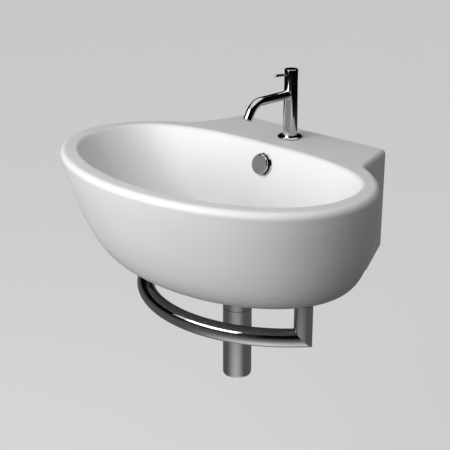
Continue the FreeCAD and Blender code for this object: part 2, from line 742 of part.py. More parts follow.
def spout_rod(radius):
    """The spout's bent run as a solid rod, from the tap's axis to the outlet."""
    corner, outward = spout_frame()
    turn = math.radians(SPOUT_TURN)
    trim = SPOUT_BEND * math.tan(turn / 2)
    start = V(0, TAP_Y, SPOUT_Z)
    bend_start = corner + TO_WALL * trim
    bend_end = corner + outward * trim
    centre = bend_start + V(0, 0, -SPOUT_BEND)
    middle = centre + V(0, -math.sin(turn / 2), math.cos(turn / 2)) * SPOUT_BEND
    end = corner + outward * SPOUT_END
    edges = [
        Part.LineSegment(start, bend_start).toShape(),
        Part.Arc(bend_start, middle, bend_end).toShape(),
        Part.LineSegment(bend_end, end).toShape(),
    ]
    circle = Part.Wire(Part.makeCircle(radius, start, TO_FRONT))
    return Part.Wire(edges).makePipeShell([circle], True, False)


def spout():
    corner, outward = spout_frame()
    tube = spout_rod(SPOUT_R).cut(spout_rod(SPOUT_R - SPOUT_WALL)).cut(tap_cone())
    end = corner + outward * SPOUT_END
    mouth = cylinder(AERATOR_R + THREAD_FIT, AERATOR + AERATOR_SINK, end, outward * -1)
    save("tap_spout", tube.cut(mouth))
    aerator = turned(ring(AERATOR_R, AERATOR_R - AERATOR_WALL, 0, AERATOR), V(0, 0, 0))
    rib_half = AERATOR_R - AERATOR_WALL / 2
    for step in range(AERATOR_RIBS):
        low_corner = V(-rib_half, -AERATOR_RIB / 2, AERATOR_WALL)
        rib = box(low_corner, V(rib_half, AERATOR_RIB / 2, AERATOR - AERATOR_WALL))
        rib.rotate(V(0, 0, 0), UP, 180 * step / AERATOR_RIBS)
        aerator = aerator.fuse(rib)
    outlet = end - outward * AERATOR_SINK
    aerator.Placement = FreeCAD.Placement(outlet, FreeCAD.Rotation(UP, outward * -1))
    save("aerator", aerator)


def tap_head():
    place = V(0, TAP_Y, 0)
    low = cartridge_low()
    top = low + CARTRIDGE
    hole_r = SPINDLE_R + RUN_FIT
    outline = [
        (0, low),
        (CARTRIDGE_R, low),
        (CARTRIDGE_R, top),
        (hole_r, top),
        (hole_r, top - SPINDLE_SINK),
        (0, top - SPINDLE_SINK),
    ]
    cartridge = turned(outline, place)
    for side in (-1, 1):
        port = V(side * INLET_OFFSET, TAP_Y, low)
        cartridge = cartridge.cut(cylinder(WATERWAY_R, CARTRIDGE / 3, port))
    save("tap_cartridge", cartridge)
    nut = ring(CARTRIDGE_R + RUN_FIT - THREAD_FIT, hole_r, top, top + CARTRIDGE_NUT)
    save("cartridge_nut", turned(nut, place))

    sink = top - SPINDLE_SINK + MOVE_GAP
    spindle = cylinder(SPINDLE_R, SPINDLE_TOP_Z - sink, place + V(0, 0, sink))
    ear_low = LEVER_HUB_HALF + MOVE_GAP
    for side in (-1, 1):
        near = side * ear_low
        far = side * (ear_low + EAR_THICK)
        low_corner = V(min(near, far), TAP_Y - EAR_HALF, SPINDLE_TOP_Z - EAR_THICK)
        high_corner = V(max(near, far), TAP_Y + EAR_HALF, PIVOT_Z + EAR_HALF)
        spindle = spindle.fuse(box(low_corner, high_corner))
    pin_half = ear_low + EAR_THICK
    pin_start = V(-pin_half, TAP_Y, PIVOT_Z)
    spindle = spindle.cut(cylinder(LEVER_PIN_R, 2 * pin_half, pin_start, SIDEWAYS))
    save("tap_spindle", spindle)
    save("lever_pin", cylinder(LEVER_PIN_R, 2 * pin_half, pin_start, SIDEWAYS))


def tap_lever():
    pivot = V(0, TAP_Y, PIVOT_Z)
    hub = cylinder(LEVER_HUB_R, 2 * LEVER_HUB_HALF, pivot + V(-LEVER_HUB_HALF, 0, 0), SIDEWAYS)
    slope = math.radians(LEVER_TILT)
    run = V(0, -math.cos(slope), math.sin(slope))
    rod = Part.makeCone(LEVER_ROOT_R, LEVER_TIP_R, LEVER_LENGTH, pivot, run)
    ball = Part.makeSphere(LEVER_BALL_R, pivot + run * (LEVER_LENGTH - LEVER_BALL_R / 2))
    bore_start = pivot - V(2 * LEVER_HUB_HALF, 0, 0)
    bore = cylinder(LEVER_PIN_R + RUN_FIT, 4 * LEVER_HUB_HALF, bore_start, SIDEWAYS)
    return hub.fuse(rod).fuse(ball).cut(bore)


def grub_place():
    return V(0, TAP_Y + SPINDLE_R, CAP_BOTTOM_Z + CAP_WEB_RISE + CAP_WEB / 2)


def tap_cap():
    place = V(0, TAP_Y, 0)
    bore_r = CAP_R - CAP_WALL
    web_low = CAP_BOTTOM_Z + CAP_WEB_RISE
    web_top = web_low + CAP_WEB
    roof = CAP_TOP_Z - CAP_WALL
    hole_r = SPINDLE_R + THREAD_FIT
    outline = [
        (bore_r, CAP_BOTTOM_Z),
        (CAP_R - EDGE / 2, CAP_BOTTOM_Z),
        (CAP_R, CAP_BOTTOM_Z + EDGE / 2),
        (CAP_R, CAP_TOP_Z - EDGE),
        (CAP_R - EDGE, CAP_TOP_Z),
        (0, CAP_TOP_Z),
        (0, roof),
        (bore_r, roof),
        (bore_r, web_top),
        (hole_r, web_top),
        (hole_r, web_low),
        (bore_r, web_low),
    ]
    cap = turned(outline, place)
    ears = LEVER_HUB_HALF + 2 * MOVE_GAP + EAR_THICK
    cap = cap.cut(box(V(-ears, TAP_Y - SPINDLE_R, web_low), V(ears, TAP_Y + SPINDLE_R, web_top + EDGE)))
    slot_low = PIVOT_Z + CAP_R * math.tan(math.radians(LEVER_TILT)) - LEVER_TIP_R - MOVE_GAP
    top_angle = math.radians(LEVER_TILT + LEVER_LIFT)
    slot_high = PIVOT_Z + CAP_R * math.tan(top_angle) + MOVE_GAP
    slot_high += (LEVER_ROOT_R + MOVE_GAP) / math.cos(top_angle)
    slot_half = LEVER_TIP_R + MOVE_GAP
    slot = box(V(-slot_half, TAP_Y - 2 * CAP_R, slot_low), V(slot_half, TAP_Y - bore_r / 2, slot_high))
    return cap.cut(slot)


def tap():
    place = V(0, TAP_Y, 0)
    save("tap_body", tap_body())
    inlet_sockets()
    flange = [
        (BODY_BASE_R + SEAT_FIT, BASE_Z),
        (FLANGE_R, BASE_Z),
        (FLANGE_R, BASE_Z + FLANGE / 3),
        (FLANGE_R - FLANGE / 2, BASE_Z + FLANGE - EDGE),
        (BODY_BASE_R + FLANGE / 2, BASE_Z + FLANGE),
        (BODY_BASE_R + SEAT_FIT, BASE_Z + FLANGE),
    ]
    save("tap_flange", turned(flange, place))
    save("tap_base_seal", turned(ring(FLANGE_R - EDGE, SHANK_R + SEAT_FIT, RIM_Z, BASE_Z), place))
    spout()
    tap_head()
    save("tap_lever", tap_lever())
    grub = grub_place()
    length = CAP_R - SPINDLE_R - EDGE
    key_deep = 2 * EDGE
    key_hole = cylinder(GRUB_R / 2, key_deep, grub + TO_WALL * (length - key_deep), TO_WALL)
    save("tap_cap", tap_cap().cut(cylinder(GRUB_R, 2 * CAP_R, grub, TO_WALL)))
    save("cap_screw", cylinder(GRUB_R, length, grub, TO_WALL).cut(key_hole))

    shank_top = BASE_Z + SHANK_IN_BODY
    shank_low = RIM_Z - SHANK_BELOW
    save("tap_shank", turned(ring(SHANK_R, SHANK_BORE_R, shank_low, shank_top), place))
    gasket_top = RIM_Z - DECK_THICK
    washer_top = gasket_top - CLAMP_GASKET
    nut_top = washer_top - CLAMP_WASHER
    clear_r = SHANK_R + SEAT_FIT
    save("clamp_gasket", turned(ring(CLAMP_R, clear_r, washer_top, gasket_top), place))
    save("clamp_washer", turned(ring(CLAMP_R, clear_r, nut_top, washer_top), place))
    nut_place = place + V(0, 0, nut_top - CLAMP_NUT)
    nut = hexagon(CLAMP_NUT_ACROSS, CLAMP_NUT, nut_place)
    save("clamp_nut", nut.cut(cylinder(SHANK_R + THREAD_FIT, CLAMP_NUT, nut_place)))


# Trap, from the waste's tail down and then back to the wall
def trap():
    place = V(0, WASTE_Y, 0)
    tail = UNDER_Z - WASTE_TAIL
    collar_top = tail - COUPLING_SEAL
    collar_low = collar_top - TUBE_COLLAR
    coupling_low = collar_low - COUPLING_LIP
    tube_bore = TRAP_TUBE_R - TRAP_TUBE_WALL
    slip_r = TRAP_TUBE_R + SEAT_FIT
    thread_r = WASTE_TUBE_R + THREAD_FIT
    coupling = [
        (slip_r, coupling_low),
        (COUPLING_R - 2 * EDGE, coupling_low),
        (COUPLING_R, coupling_low + 2 * EDGE),
        (COUPLING_R, coupling_low + COUPLING - EDGE),
        (COUPLING_R - EDGE, coupling_low + COUPLING),
        (thread_r, coupling_low + COUPLING),
        (thread_r, collar_low),
        (slip_r, collar_low),
    ]
    save("trap_coupling_nut", turned(coupling, place))
    coupling_seal = ring(WASTE_TUBE_R - SEAT_FIT, tube_bore, collar_top, tail)
    save("trap_coupling_seal", turned(coupling_seal, place))

    nut_top = coupling_low - TUBE_EXPOSED
    neck_top = nut_top - NECK_NUT_LIP - NECK_SEAL
    body_top = neck_top - NECK
    body_low = body_top - TRAP_BODY
    tube_low = body_top - TUBE_IN_BODY
    tube = [
        (tube_bore, tube_low),
        (TRAP_TUBE_R, tube_low),
        (TRAP_TUBE_R, collar_low),
        (WASTE_TUBE_R - SEAT_FIT, collar_low),
        (WASTE_TUBE_R - SEAT_FIT, collar_top),
        (tube_bore, collar_top),
    ]
    save("trap_inlet_tube", turned(tube, place))
    nut_low = nut_top - NECK_NUT
    neck_nut = [
        (NECK_R + THREAD_FIT, nut_low),
        (NECK_NUT_R - EDGE, nut_low),
        (NECK_NUT_R, nut_low + EDGE),
        (NECK_NUT_R, nut_top - 2 * EDGE),
        (NECK_NUT_R - 2 * EDGE, nut_top),
        (slip_r, nut_top),
        (slip_r, nut_top - NECK_NUT_LIP),
        (NECK_R + THREAD_FIT, nut_top - NECK_NUT_LIP),
    ]
    save("trap_neck_nut", turned(neck_nut, place))
    neck_seal = ring(NECK_R - SEAT_FIT, TRAP_TUBE_R, neck_top, nut_top - NECK_NUT_LIP)
    save("trap_neck_seal", turned(neck_seal, place))

    cup_top = body_low - CUP_SEAL
    cup_low = cup_top - CUP
    thread_outer = TRAP_R - TRAP_WALL
    inner_r = thread_outer - TRAP_WALL
    dip_r = slip_r + DIP_TUBE_WALL
    dip_low = cup_low + CUP_FLOOR + DIP_CLEAR
    outline = [
        (slip_r, dip_low),
        (dip_r, dip_low),
        (dip_r, body_top - TRAP_WALL),
        (inner_r, body_top - TRAP_WALL),
        (inner_r, body_low - CUP_THREAD),
        (thread_outer, body_low - CUP_THREAD),
        (thread_outer, body_low),
        (TRAP_R, body_low),
        (TRAP_R, body_top - TRAP_TOP_ROUND),
        (TRAP_R - TRAP_TOP_ROUND * ROUND_MID, body_top - TRAP_TOP_ROUND * ROUND_MID),
        (TRAP_R - TRAP_TOP_ROUND, body_top),
        (NECK_R, body_top),
        (NECK_R, neck_top),
        (slip_r, neck_top),
    ]
    body = turned(outline, place)
    outlet_z = body_top - OUTLET_DROP
    stub_start = V(0, WASTE_Y + inner_r, outlet_z)
    stub_end = WASTE_Y + TRAP_R + OUTLET_STUB
    stub = cylinder(NECK_R, stub_end - stub_start.y, stub_start, TO_WALL)
    round_room = cylinder(inner_r, TRAP_BODY, place + V(0, 0, body_low))
    body = body.fuse(stub.cut(round_room))
    bore_start = V(0, WASTE_Y + dip_r + EDGE, outlet_z)
    body = body.cut(cylinder(slip_r, 2 * TRAP_R + OUTLET_STUB, bore_start, TO_WALL))
    save("trap_body", body)
    cup_seal = ring(TRAP_R - CUP_SEAL_SINK, thread_outer + SEAT_FIT, cup_top, body_low)
    save("trap_cup_seal", turned(cup_seal, place))
    cup = [
        (0, cup_low),
        (TRAP_R - CUP_ROUND, cup_low),
        (TRAP_R - CUP_ROUND * ROUND_MID, cup_low + CUP_ROUND * ROUND_MID),
        (TRAP_R, cup_low + CUP_ROUND),
        (TRAP_R, cup_top),
        (thread_outer + THREAD_FIT, cup_top),
        (thread_outer + THREAD_FIT, cup_low + CUP_FLOOR),
        (0, cup_low + CUP_FLOOR),
    ]
    save("trap_cup", turned(cup, place))
    trap_outlet(outlet_z, stub_end, slip_r)


def trap_outlet(outlet_z, stub_end, slip_r):
    axis_start = V(0, 0, outlet_z)
    seal_end = stub_end + OUTLET_SEAL
    nut_end = seal_end + OUTLET_NUT_LIP
    nut_start = nut_end - OUTLET_NUT
    nut = [
        (NECK_R + THREAD_FIT, nut_start),
        (OUTLET_NUT_R - EDGE, nut_start),
        (OUTLET_NUT_R, nut_start + EDGE),
        (OUTLET_NUT_R, nut_end - 2 * EDGE),
        (OUTLET_NUT_R - 2 * EDGE, nut_end),
        (slip_r, nut_end),
        (slip_r, seal_end),
        (NECK_R + THREAD_FIT, seal_end),
    ]
    save("trap_outlet_nut", turned(nut, axis_start, TO_WALL))
    seal = ring(NECK_R - SEAT_FIT, TRAP_TUBE_R, stub_end, seal_end)
    save("trap_outlet_seal", turned(seal, axis_start, TO_WALL))
    pipe_start = stub_end - OUTLET_IN_STUB
    mark_r = TRAP_TUBE_R - OUTLET_MARK_DEEP
    pipe = [
        (TRAP_TUBE_R - TRAP_TUBE_WALL, pipe_start),
        (TRAP_TUBE_R, pipe_start),
        (TRAP_TUBE_R, 0),
        (mark_r, 0),
        (mark_r, OUTLET_MARK),
        (TRAP_TUBE_R, OUTLET_MARK),
        (TRAP_TUBE_R, OUTLET_PAST_WALL),
        (TRAP_TUBE_R - TRAP_TUBE_WALL, OUTLET_PAST_WALL),
    ]
    save("trap_outlet_pipe", turned(pipe, axis_start, TO_WALL))
    rosette = [
        (ROSETTE_R, 0),
        (ROSETTE_R, -ROSETTE / 4),
        (ROSETTE_SHOULDER_R, -ROSETTE_SHOULDER),
        (slip_r + ROSETTE_WALL, -ROSETTE),
        (slip_r, -ROSETTE),
        (slip_r, -ROSETTE + ROSETTE_WALL),
        (ROSETTE_SHOULDER_R - ROSETTE_WALL, -ROSETTE_SHOULDER + ROSETTE_WALL),
        (ROSETTE_R - ROSETTE_WALL, 0),
    ]
    save("wall_rosette", turned(rosette, axis_start, TO_WALL))


# Towel rail
def rail_form(radius, leg_top):
    """The rail as a solid of this radius: a bowed bar with straight ends mitred to two legs."""
    bar_z = UNDER_Z - RAIL_DROP
    straight = RAIL_R + RAIL_WALL
    half_angle = 2 * math.atan(RAIL_BOW / (RAIL_LEG_X + straight))
    bow_radius = (RAIL_LEG_X - straight * math.cos(half_angle)) / math.sin(half_angle)
    centre = V(0, RAIL_LEG_Y - RAIL_BOW + bow_radius, bar_z)
    start = centre + V(-math.sin(half_angle), -math.cos(half_angle), 0) * bow_radius
    tangent = V(math.cos(half_angle), -math.sin(half_angle), 0)
    disc = Part.Face(Part.Wire(Part.makeCircle(radius, start, tangent)))
    rail = disc.revolve(centre, UP, math.degrees(2 * half_angle))
    for side in (-1, 1):
        corner = V(side * RAIL_LEG_X, RAIL_LEG_Y, bar_z)
        outward = V(side * math.cos(half_angle), math.sin(half_angle), 0)
        mitre = outward + UP
        end = cylinder(radius, straight + 2 * radius, corner - outward * straight, outward)
        leg = cylinder(radius, leg_top - bar_z + 2 * radius, corner + V(0, 0, -2 * radius))
        rail = rail.fuse(end.cut(half_space(corner, mitre)))
        rail = rail.fuse(leg.cut(half_space(corner, mitre * -1)))
    return rail


def towel_rail():
    gasket_top = UNDER_Z - RAIL_BOSS
    leg_top = gasket_top - RAIL_GASKET
    bore_r = RAIL_R - RAIL_WALL
    save("towel_rail", rail_form(RAIL_R, leg_top).cut(rail_form(bore_r, leg_top)))
    plugs = []
    studs = []
    inserts = []
    gaskets = []
    stud_low = leg_top - RAIL_PLUG
    for foot in rail_feet():
        place = V(foot.x, foot.y, 0)
        plugs.append(turned(ring(bore_r - SEAT_FIT, STUD_R + THREAD_FIT, stud_low, leg_top), place))
        studs.append(cylinder(STUD_R, STUD, place + V(0, 0, stud_low)))
        insert = ring(INSERT_R - THREAD_FIT, STUD_R + THREAD_FIT, gasket_top, gasket_top + INSERT)
        inserts.append(turned(insert, place))
        gaskets.append(turned(ring(RAIL_R - EDGE, STUD_R + SEAT_FIT, leg_top, gasket_top), place))
    save("rail_end_plugs", Part.makeCompound(plugs))
    save("rail_studs", Part.makeCompound(studs))
    save("rail_inserts", Part.makeCompound(inserts))
    save("rail_gaskets", Part.makeCompound(gaskets))


os.makedirs("parts", exist_ok=True)
basin()
waste()
overflow()
tap()
trap()
towel_rail()
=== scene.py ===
import math

import bmesh
import bpy
from bpy.props import FloatProperty, FloatVectorProperty, PointerProperty
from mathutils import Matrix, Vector


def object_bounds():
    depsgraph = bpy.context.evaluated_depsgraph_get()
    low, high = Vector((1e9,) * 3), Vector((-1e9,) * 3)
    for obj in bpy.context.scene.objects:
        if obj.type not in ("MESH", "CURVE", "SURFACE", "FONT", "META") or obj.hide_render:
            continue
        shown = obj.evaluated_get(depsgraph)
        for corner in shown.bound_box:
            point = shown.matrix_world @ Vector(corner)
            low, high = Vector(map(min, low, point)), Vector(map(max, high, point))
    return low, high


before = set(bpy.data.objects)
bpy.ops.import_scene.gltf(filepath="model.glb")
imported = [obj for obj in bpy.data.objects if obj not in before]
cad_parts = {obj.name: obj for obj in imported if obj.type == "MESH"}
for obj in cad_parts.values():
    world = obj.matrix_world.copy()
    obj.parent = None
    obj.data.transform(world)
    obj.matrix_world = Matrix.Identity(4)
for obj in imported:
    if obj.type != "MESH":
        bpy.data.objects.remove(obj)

bl_info = {
    "name": "Hand Basin",
    "version": (1, 0, 0),
    "blender": (4, 5, 0),
    "location": "3D View > Sidebar > Hand Basin",
    "description": "Dresses a wall-hung ceramic hand basin with its tap, trap and towel rail",
    "category": "Object",
}

CAD_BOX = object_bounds()
MM = 0.001
MAT_LIFT = 1 * MM        # keeps the mat clear of the floor
SENSOR_WIDTH = 36.0      # in millimetres, as Blender gives a camera's sensor
DISC_SIDES = 64
CURTAIN_STEPS = 48
WAVE_PERIOD = math.tau / 20    # one wave of a Wave texture, at a scale of 1

# Sockets of a colour Mix node, which has one set for each data type
MIX_SHARE, MIX_FIRST, MIX_SECOND = 0, 6, 7
MIX_RESULT = 2

# CAD nodes that keep their shape, by the finish that each one has
CAST_CHINA = ("basin_bowl", "basin_skirt", "basin_base", "basin_block", "basin_deck", "basin_duct")
PLATED = (
    "tap_body", "tap_flange", "tap_spout", "tap_cap", "tap_lever", "tap_spindle", "cartridge_nut",
    "overflow_ring", "overflow_cap", "waste_body", "waste_plug", "waste_backnut",
    "trap_coupling_nut", "trap_inlet_tube", "trap_neck_nut", "trap_body", "trap_cup",
    "trap_outlet_nut", "trap_outlet_pipe", "wall_rosette", "towel_rail",
)
TURNED_BRASS = ("tap_shank", "clamp_nut", "rail_inserts", "hot_inlet_socket", "cold_inlet_socket")
STAINLESS = ("clamp_washer", "plug_stem", "plug_spring", "lever_pin", "cap_screw", "rail_studs")
MOULDED_PLASTIC = ("tap_cartridge", "plug_guide", "aerator", "rail_end_plugs")
MOULDED_RUBBER = (
    "waste_top_seal", "waste_under_seal", "plug_seal", "tap_base_seal", "clamp_gasket",
    "trap_coupling_seal", "trap_neck_seal", "trap_cup_seal", "trap_outlet_seal", "rail_gaskets",
)


def linear(code):
    """Linear RGB from an sRGB hex code."""
    values = []
    for start in (0, 2, 4):
        share = int(code[start:start + 2], 16) / 255
        values.append(share / 12.92 if share <= 0.04045 else ((share + 0.055) / 1.055) ** 2.4)
    return tuple(values)


def rgba(colour):
    return (*colour, 1.0)


def add_node(tree, kind, settings=None, inputs=None):
    """Adds a node, sets its properties, then fills its inputs with values or links."""
    node = tree.nodes.new(kind)
    for key, value in (settings or {}).items():
        setattr(node, key, value)
    for key, value in (inputs or {}).items():
        if isinstance(value, bpy.types.NodeSocket):
            tree.links.new(value, node.inputs[key])
        else:
            node.inputs[key].default_value = value
    return node


def new_material(name):
    """An empty node material with an output and the Object coordinates that patterns read."""
    material = bpy.data.materials.new(name)
    material.use_nodes = True
    tree = material.node_tree
    tree.nodes.clear()
    place = add_node(tree, "ShaderNodeTexCoord").outputs["Object"]
    return material, tree, place


def finish_material(tree, shader):
    add_node(tree, "ShaderNodeOutputMaterial", inputs={"Surface": shader.outputs[0]})


def per_metre(size_mm):
    """A texture's scale for features of this size."""
    return 1 / (size_mm * MM)


def glazed_china(colours):
    """Vitreous china, slip-cast and glazed: clean white with a satin gloss, a faint ripple in the
    glaze and slightly warmer patches where the glaze lies thicker."""
    material, tree, place = new_material("vitreous_china_glazed")
    patch = add_node(tree, "ShaderNodeTexNoise", inputs={
        "Vector": place, "Scale": per_metre(140), "Detail": 2.0, "Roughness": 0.5})
    tint = add_node(tree, "ShaderNodeValToRGB", inputs={"Fac": patch.outputs["Fac"]})
    tint.color_ramp.elements[0].position = 0.35
    tint.color_ramp.elements[0].color = rgba(colours.glaze_thick)
    tint.color_ramp.elements[1].position = 0.65
    tint.color_ramp.elements[1].color = rgba(colours.glaze)
    ripple = add_node(tree, "ShaderNodeTexNoise", inputs={
        "Vector": place, "Scale": per_metre(22), "Detail": 1.0})
    relief = add_node(tree, "ShaderNodeBump", inputs={
        "Height": ripple.outputs["Fac"], "Strength": 0.25, "Distance": 0.12 * MM})
    gloss = add_node(tree, "ShaderNodeMapRange", inputs={
        "Value": patch.outputs["Fac"], "To Min": 0.42, "To Max": 0.52})
    shader = add_node(tree, "ShaderNodeBsdfPrincipled", inputs={
        "Base Color": tint.outputs["Color"], "Roughness": gloss.outputs["Result"],
        "Normal": relief.outputs["Normal"], "IOR": 1.5})
    finish_material(tree, shader)
    return material


def chrome_plate(colours):
    """Brass polished and chrome-plated: a cool mirror with faint cloudy buffing marks."""
    material, tree, place = new_material("brass_chrome_plated_polished")
    cloud = add_node(tree, "ShaderNodeTexNoise", inputs={
        "Vector": place, "Scale": per_metre(9), "Detail": 4.0, "Roughness": 0.6})
    gloss = add_node(tree, "ShaderNodeMapRange", inputs={
        "Value": cloud.outputs["Fac"], "From Min": 0.3, "From Max": 0.7,
        "To Min": 0.05, "To Max": 0.1})
    shader = add_node(tree, "ShaderNodeBsdfPrincipled", inputs={
        "Base Color": rgba(colours.chrome), "Metallic": 1.0, "Roughness": gloss.outputs["Result"]})
    finish_material(tree, shader)
    return material


def machined_brass(colours):
    """Brass bar turned on a lathe and left bare: warm yellow with fine turning rings."""
    material, tree, place = new_material("brass_machined")
    rings = add_node(tree, "ShaderNodeTexWave", settings={"bands_direction": "Z"}, inputs={
        "Vector": place, "Scale": WAVE_PERIOD * per_metre(0.377), "Distortion": 1.5,
        "Detail": 2.0})
    tone = add_node(tree, "ShaderNodeMix", settings={"data_type": "RGBA"}, inputs={
        MIX_SHARE: rings.outputs["Fac"], MIX_FIRST: rgba(colours.brass_shade),
        MIX_SECOND: rgba(colours.brass)})
    shader = add_node(tree, "ShaderNodeBsdfPrincipled", inputs={
        "Base Color": tone.outputs[MIX_RESULT], "Metallic": 1.0, "Roughness": 0.28})
    finish_material(tree, shader)
    return material


def drawn_steel(colours):
    """Stainless steel, drawn and deburred: bright grey with a soft sheen and a fine mottle."""
    material, tree, place = new_material("stainless_steel_drawn")
    mottle = add_node(tree, "ShaderNodeTexNoise", inputs={
        "Vector": place, "Scale": per_metre(1.5), "Detail": 3.0})
    gloss = add_node(tree, "ShaderNodeMapRange", inputs={
        "Value": mottle.outputs["Fac"], "To Min": 0.18, "To Max": 0.34})
    shader = add_node(tree, "ShaderNodeBsdfPrincipled", inputs={
        "Base Color": rgba(colours.steel), "Metallic": 1.0, "Roughness": gloss.outputs["Result"]})
    finish_material(tree, shader)
    return material


def moulded_rubber(colours):
    """EPDM rubber, moulded: near black and matt, with a fine bloom."""
    material, tree, place = new_material("epdm_rubber_moulded")
    bloom = add_node(tree, "ShaderNodeTexNoise", inputs={
        "Vector": place, "Scale": per_metre(3), "Detail": 4.0})
    tone = add_node(tree, "ShaderNodeMix", settings={"data_type": "RGBA"}, inputs={
        MIX_SHARE: bloom.outputs["Fac"], MIX_FIRST: rgba(colours.rubber),
        MIX_SECOND: rgba(colours.rubber_bloom)})
    shader = add_node(tree, "ShaderNodeBsdfPrincipled", inputs={
        "Base Color": tone.outputs[MIX_RESULT], "Roughness": 0.62})
    finish_material(tree, shader)
    return material


def moulded_acetal(colours):
    """Acetal plastic, injection-moulded: milky white with a low sheen and faint flow marks."""
    material, tree, place = new_material("acetal_moulded")
    flow = add_node(tree, "ShaderNodeTexNoise", inputs={
        "Vector": place, "Scale": per_metre(6), "Detail": 2.0})
    tone = add_node(tree, "ShaderNodeMix", settings={"data_type": "RGBA"}, inputs={
        MIX_SHARE: flow.outputs["Fac"], MIX_FIRST: rgba(colours.acetal_shade),
        MIX_SECOND: rgba(colours.acetal)})
    shader = add_node(tree, "ShaderNodeBsdfPrincipled", inputs={
        "Base Color": tone.outputs[MIX_RESULT], "Roughness": 0.42})
    finish_material(tree, shader)
    return material


def dress(nodes, material):
    """Gives CAD nodes a material in every slot."""
    for name in nodes:
        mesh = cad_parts[name].data
        mesh.materials.clear()
        mesh.materials.append(material)


def colour_property(name, description, code):
    return FloatVectorProperty(
        name=name, description=description, default=linear(code),
        subtype="COLOR", size=3, min=0, max=1)


class BasinFinishes(bpy.types.PropertyGroup):
    glaze: colour_property("Glaze", "White of the glaze", "F2F2F1")
    glaze_thick: colour_property("Thick glaze", "White where the glaze lies thicker", "EFEFED")
    chrome: colour_property("Chrome", "Reflection colour of the chrome plate", "CBCDCF")
    brass: colour_property("Brass", "Bare machined brass", "C9A255")
    brass_shade: colour_property("Brass shade", "Brass in the turning rings", "B58C43")
    steel: colour_property("Steel", "Stainless steel", "B9BBBC")
    rubber: colour_property("Rubber", "Moulded rubber", "161616")
    rubber_bloom: colour_property("Rubber bloom", "Pale bloom on the rubber", "262625")
    acetal: colour_property("Acetal", "Moulded acetal", "DDDCD6")
    acetal_shade: colour_property("Acetal shade", "Flow marks in the acetal", "D0CFC8")


class BasinStage(bpy.types.PropertyGroup):
    floor_drop: FloatProperty(
        name="Floor drop", description="Height of the floor below the wall fixings",
        default=0.815, unit="LENGTH")
    floor_radius: FloatProperty(
        name="Floor radius", description="Reach of the floor", default=14.0, unit="LENGTH")
    floor: colour_property("Floor", "Pale floor", "E4E4E2")
    floor_bounce: colour_property("Floor bounce", "Floor as it lights the object", "444443")
    background: colour_property("Background", "Background above the floor", "FFFFFF")
    floor_glow: FloatProperty(
        name="Floor glow", description="Share of the floor's white that no shadow takes away",
        default=0.65, min=0, max=1, subtype="FACTOR")
    # The curtain, screen and mat glow with a painted reflection of a dark room, greyer near the
    # floor; no lamp lights them
    curtain_reach: FloatProperty(
        name="Curtain reach", description="Dark curtain's distance, which only reflections show",
        default=0.74, unit="LENGTH")
    curtain_top: FloatProperty(
        name="Curtain top", description="Curtain's top above the wall fixings",
        default=1.0, unit="LENGTH")
    curtain_grey: FloatProperty(
        name="Curtain grey", description="Depth below the wall fixings where it starts to darken",
        default=0.22, unit="LENGTH")
    curtain_dark: FloatProperty(
        name="Curtain dark", description="Depth below the wall fixings where it is darkest",
        default=0.04, unit="LENGTH")
    gap_left: FloatProperty(
        name="Gap left", description="Left edge of the curtain's gap, left of the front",
        default=math.radians(35), subtype="ANGLE")
    gap_right: FloatProperty(
        name="Gap right", description="Right edge of the curtain's gap, right of the front",
        default=math.radians(12), subtype="ANGLE")
    screen_top: FloatProperty(
        name="Screen top", description="Top of the low screen in the gap",
        default=0.1, unit="LENGTH")
    # A painted pool of light on the mat, glowing for reflections where no lamp shines
    painted_light_turn: FloatProperty(
        name="Patch turn", description="Light patch on the mat, right of the front",
        default=math.radians(25), subtype="ANGLE")
    painted_light_distance: FloatProperty(
        name="Patch distance", description="Light patch's middle, out from the wall fixings",
        default=0.5, unit="LENGTH")
    painted_light_reach: FloatProperty(
        name="Patch reach", description="Distance over which the light patch fades",
        default=0.7, unit="LENGTH")
    # Glowing tones of the painted reflection: grey at the floor, darkening towards the head
    curtain_foot: colour_property("Curtain foot", "Curtain and mat at the floor", "606060")
    curtain_head: colour_property("Curtain head", "Curtain from its darkest height up", "080808")
    # painted light: the colour of the pool of light glowing on the mat
    patch: colour_property("Patch", "Light patch on the mat", "F4F4F4")
    fill: FloatProperty(name="Fill", description="Light from all round", default=0.28, min=0)
    key_power: FloatProperty(
        name="Key power", description="Power of the key light", default=43.0, min=0, unit="POWER")
    key_distance: FloatProperty(
        name="Key distance", description="Key light to the object", default=2.0, unit="LENGTH")
    key_turn: FloatProperty(
        name="Key turn", description="Key light's turn to the left of the front",
        default=math.radians(8), subtype="ANGLE")
    key_height: FloatProperty(
        name="Key height", description="Key light's slope",
        default=math.radians(27), subtype="ANGLE")
    key_size: FloatProperty(
        name="Key size", description="Side of the key light", default=2.0, unit="LENGTH")
    camera_turn: FloatProperty(
        name="Camera turn", description="Camera's turn to the right of the front",
        default=math.radians(44.33), subtype="ANGLE")
    camera_height: FloatProperty(
        name="Camera height", description="Camera's slope",
        default=math.radians(20.57), subtype="ANGLE")
    camera_place: FloatVectorProperty(
        name="Camera place", description="Where the camera stands", subtype="TRANSLATION", size=3,
        default=(1.1327, -1.3712, 0.5596))
    lens: FloatProperty(
        name="Lens", description="Focal length on a 36 mm frame", default=83.52, unit="CAMERA")


class BASIN_OT_china(bpy.types.Operator):
    """Glazes the ceramic basin"""
    bl_idname = "basin.china"
    bl_label = "Ceramic"

    def execute(self, context):
        dress(CAST_CHINA, glazed_china(context.scene.basin_finishes))
        return {"FINISHED"}


class BASIN_OT_plate(bpy.types.Operator):
    """Plates the tap, the waste, the trap and the towel rail"""
    bl_idname = "basin.plate"
    bl_label = "Chrome plate"

    def execute(self, context):
        dress(PLATED, chrome_plate(context.scene.basin_finishes))
        return {"FINISHED"}


class BASIN_OT_brass(bpy.types.Operator):
    """Leaves the hidden turned pieces in bare brass"""
    bl_idname = "basin.brass"
    bl_label = "Brass"

    def execute(self, context):
        dress(TURNED_BRASS, machined_brass(context.scene.basin_finishes))
        return {"FINISHED"}


